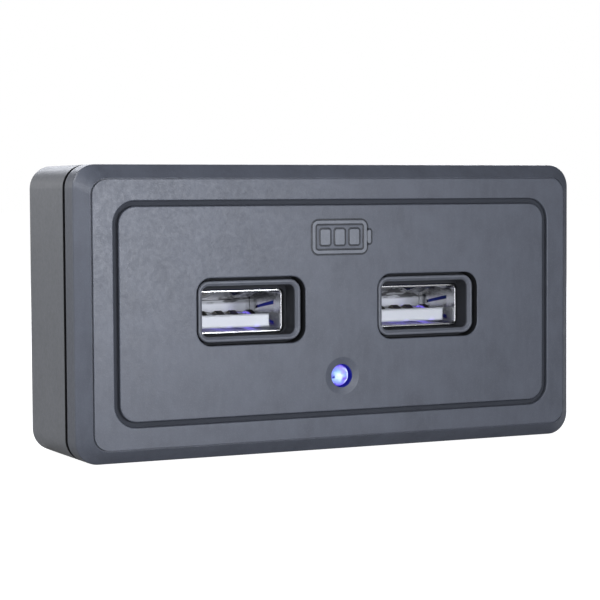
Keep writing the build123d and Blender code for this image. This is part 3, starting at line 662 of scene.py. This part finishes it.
def make_materials():
    dress(cover_plastic(), "front_cover")
    dress(housing_plastic(), "rear_housing")
    dress(rim_plastic(), "port_carrier")
    dress(grommet_rubber(), "cable_grommet")
    dress(lit_lamp(), "status_led")
    dress(shell_plating(), "usb_shell_left", "usb_shell_right")
    for side in ("left", "right"):
        low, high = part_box("usb_insulator_" + side)
        socket_x = (low.x + high.x) / 2
        dress(white_insulator(socket_x), "usb_insulator_" + side)
        dress(contact_plating(socket_x), "usb_contacts_" + side)
    for name, colour, roughness, names in PLATED_PARTS:
        dress(plated_metal(name, colour, roughness), *names)
    for name, colour, grain, depth, roughness, names in GRAINED_PARTS:
        dress(plain_grain(name, colour, grain, depth, roughness), *names)


def rounded_outline(width, height, radius, x, z):
    """Points of a rounded rectangle, counter-clockwise as seen from the front."""
    points = []
    for turn, (side_x, side_z) in enumerate(((1, 1), (-1, 1), (-1, -1), (1, -1))):
        for step in range(CORNER_STEPS + 1):
            angle = math.radians(90 * (turn + step / CORNER_STEPS))
            points.append((x + side_x * (width / 2 - radius) + radius * math.cos(angle),
                           z + side_z * (height / 2 - radius) + radius * math.sin(angle)))
    return points


def moulded_stroke(mesh, outer, inner=None):
    """Raised stroke with dark feet of painted shadow: a solid shape, or a ring round an inner
    shape.

    Each shape is (width, height, radius, x, z).
    """
    top = FACE_Y - SIGN_RISE
    root = FACE_Y + SIGN_ROOT

    def loop(shape, grow, depth):
        width, height, radius, x, z = shape
        points = rounded_outline(width + 2 * grow, height + 2 * grow, radius + grow, x, z)
        return [mesh.verts.new((point_x, depth, point_z)) for point_x, point_z in points]

    def band(first, second, slot):
        for start in range(len(first)):
            end = (start + 1) % len(first)
            face = mesh.faces.new((first[start], first[end], second[end], second[start]))
            face.material_index = slot

    def shadow_foot(shape, side):
        """Dark foot of painted shadow beside a crest; side is +1 outside a shape and -1 inside
        it.
        """
        crest = loop(shape, -side * SIGN_SLOPE, top)
        inner_edge = loop(shape, 0.0, FACE_Y - SHADOW_FOOT_RISE)
        outer_edge = loop(shape, side * SHADOW_FOOT_WIDTH, FACE_Y - SHADOW_FOOT_RISE)
        band(crest, inner_edge, SHADOW_FOOT)
        band(inner_edge, outer_edge, SHADOW_FOOT)
        band(outer_edge, loop(shape, side * SHADOW_FOOT_WIDTH, root), SHADOW_FOOT)
        return crest

    crest = shadow_foot(outer, 1)
    if inner is None:
        mesh.faces.new(crest)
        return
    band(crest, shadow_foot(inner, -1), CREST)


def make_pictogram():
    """Battery symbol moulded on the face above the lamp."""
    mesh = bmesh.new()
    body_x = -TERMINAL_WIDTH / 2
    hole_width = SIGN_WIDTH - 2 * SIGN_STROKE
    hole_height = SIGN_HEIGHT - 2 * SIGN_STROKE
    moulded_stroke(mesh, (SIGN_WIDTH, SIGN_HEIGHT, SIGN_RADIUS, body_x, SIGN_Z),
                   (hole_width, hole_height, SIGN_RADIUS - SIGN_STROKE, body_x, SIGN_Z))
    terminal_x = SIGN_WIDTH / 2
    moulded_stroke(mesh, (TERMINAL_WIDTH, TERMINAL_HEIGHT, TERMINAL_RADIUS, terminal_x, SIGN_Z))
    bar_width = (hole_width - (BAR_COUNT + 1) * BAR_GAP) / BAR_COUNT
    bar_height = hole_height - 2 * BAR_GAP
    for bar in range(BAR_COUNT):
        bar_x = body_x + (bar - (BAR_COUNT - 1) / 2) * (bar_width + BAR_GAP)
        moulded_stroke(mesh, (bar_width, bar_height, BAR_RADIUS, bar_x, SIGN_Z))
    bmesh.ops.recalc_face_normals(mesh, faces=mesh.faces)
    data = bpy.data.meshes.new("pictogram")
    mesh.to_mesh(data)
    mesh.free()
    sign = bpy.data.objects.new("pictogram", data)
    bpy.context.scene.collection.objects.link(sign)
    data.materials.append(moulded_plastic("sign_plastic", SIGN_COLOUR)[0].material)
    # Dark material of the feet: painted shadow round the strokes
    data.materials.append(moulded_plastic("sign_painted_shadow", SIGN_PAINTED_SHADOW)[0].material)
    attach(sign, "root")


def make_camera():
    data = bpy.data.cameras.new("camera")
    data.sensor_width = SENSOR_MM
    data.lens = CAMERA_FOCAL_PIXELS * SENSOR_MM / PICTURE_PIXELS
    data.clip_start, data.clip_end = CAMERA_CLIP
    camera = bpy.data.objects.new("camera", data)
    turn = Matrix((CAMERA_RIGHT, CAMERA_UP, CAMERA_BACK)).transposed()
    camera.matrix_world = Matrix.Translation(CAMERA_PLACE) @ turn.to_4x4()
    bpy.context.scene.collection.objects.link(camera)
    bpy.context.scene.camera = camera


def ray_share(tree, kind, other, shown):
    """Value that is `shown` for one kind of ray and `other` for the rest."""
    path = tree.nodes.new("ShaderNodeLightPath")
    return map_range(tree, path.outputs[kind], other, shown)


def make_world():
    """White to the camera; in gloss a white backdrop behind the part and a dim room."""
    world = bpy.data.worlds.new("studio")
    bpy.context.scene.world = world
    world.use_nodes = True
    tree = world.node_tree
    background = tree.nodes["Background"]
    feed(tree, background.inputs["Color"], WHITE)
    direction = tree.nodes.new("ShaderNodeTexCoord")
    apart = tree.nodes.new("ShaderNodeSeparateXYZ")
    feed(tree, apart.inputs["Vector"], direction.outputs["Generated"])
    height = map_range(tree, apart.outputs["Z"], BACKDROP_LEVEL, WORLD_GLOSS, BACKDROP_TOP)
    backdrop = map_range(tree, apart.outputs["Y"], WORLD_GLOSS, height, BACKDROP_EDGE)
    level = ray_share(tree, "Is Glossy Ray", WORLD_FILL, backdrop)
    level = ray_share(tree, "Is Camera Ray", level, WORLD_SHOWN)
    feed(tree, background.inputs["Strength"], level)


def make_floor():
    """Matt floor that looks nearly white to the camera and keeps the part's shadow."""
    mesh = bpy.data.meshes.new("floor")
    corners = [(x * FLOOR_HALF, y * FLOOR_HALF, FLOOR_Z)
               for x, y in ((-1, -1), (1, -1), (1, 1), (-1, 1))]
    mesh.from_pydata(corners, [], [(0, 1, 2, 3)])
    floor = bpy.data.objects.new("floor", mesh)
    bpy.context.scene.collection.objects.link(floor)
    look = Shader("floor_white")
    level = ray_share(look.tree, "Is Glossy Ray", 0.0, FLOOR_GLOSS)
    look.set("Base Color", FLOOR_COLOUR)
    look.set("Roughness", 1.0)
    look.set("Specular IOR Level", 0.0)
    look.set("Emission Color", WHITE)
    look.set("Emission Strength", ray_share(look.tree, "Is Camera Ray", level, FLOOR_SHOWN))
    mesh.materials.append(look.material)


def make_lights():
    """A softbox, two small lights and a card at the left, and two lights behind."""
    for name, place, target, size, power, colour in LIGHTS:
        data = bpy.data.lights.new(name, "AREA")
        data.shape = "RECTANGLE"
        data.size, data.size_y = size
        data.energy = power
        data.color = colour
        light = bpy.data.objects.new(name, data)
        light.location = place
        aim = Vector(target) - Vector(place)
        light.rotation_mode = "QUATERNION"
        light.rotation_quaternion = aim.to_track_quat("-Z", "Y")
        light.visible_camera = False
        bpy.context.scene.collection.objects.link(light)


make_materials()
make_pictogram()
make_camera()
make_world()
make_floor()
make_lights()
bpy.context.scene.view_settings.view_transform = "Standard"
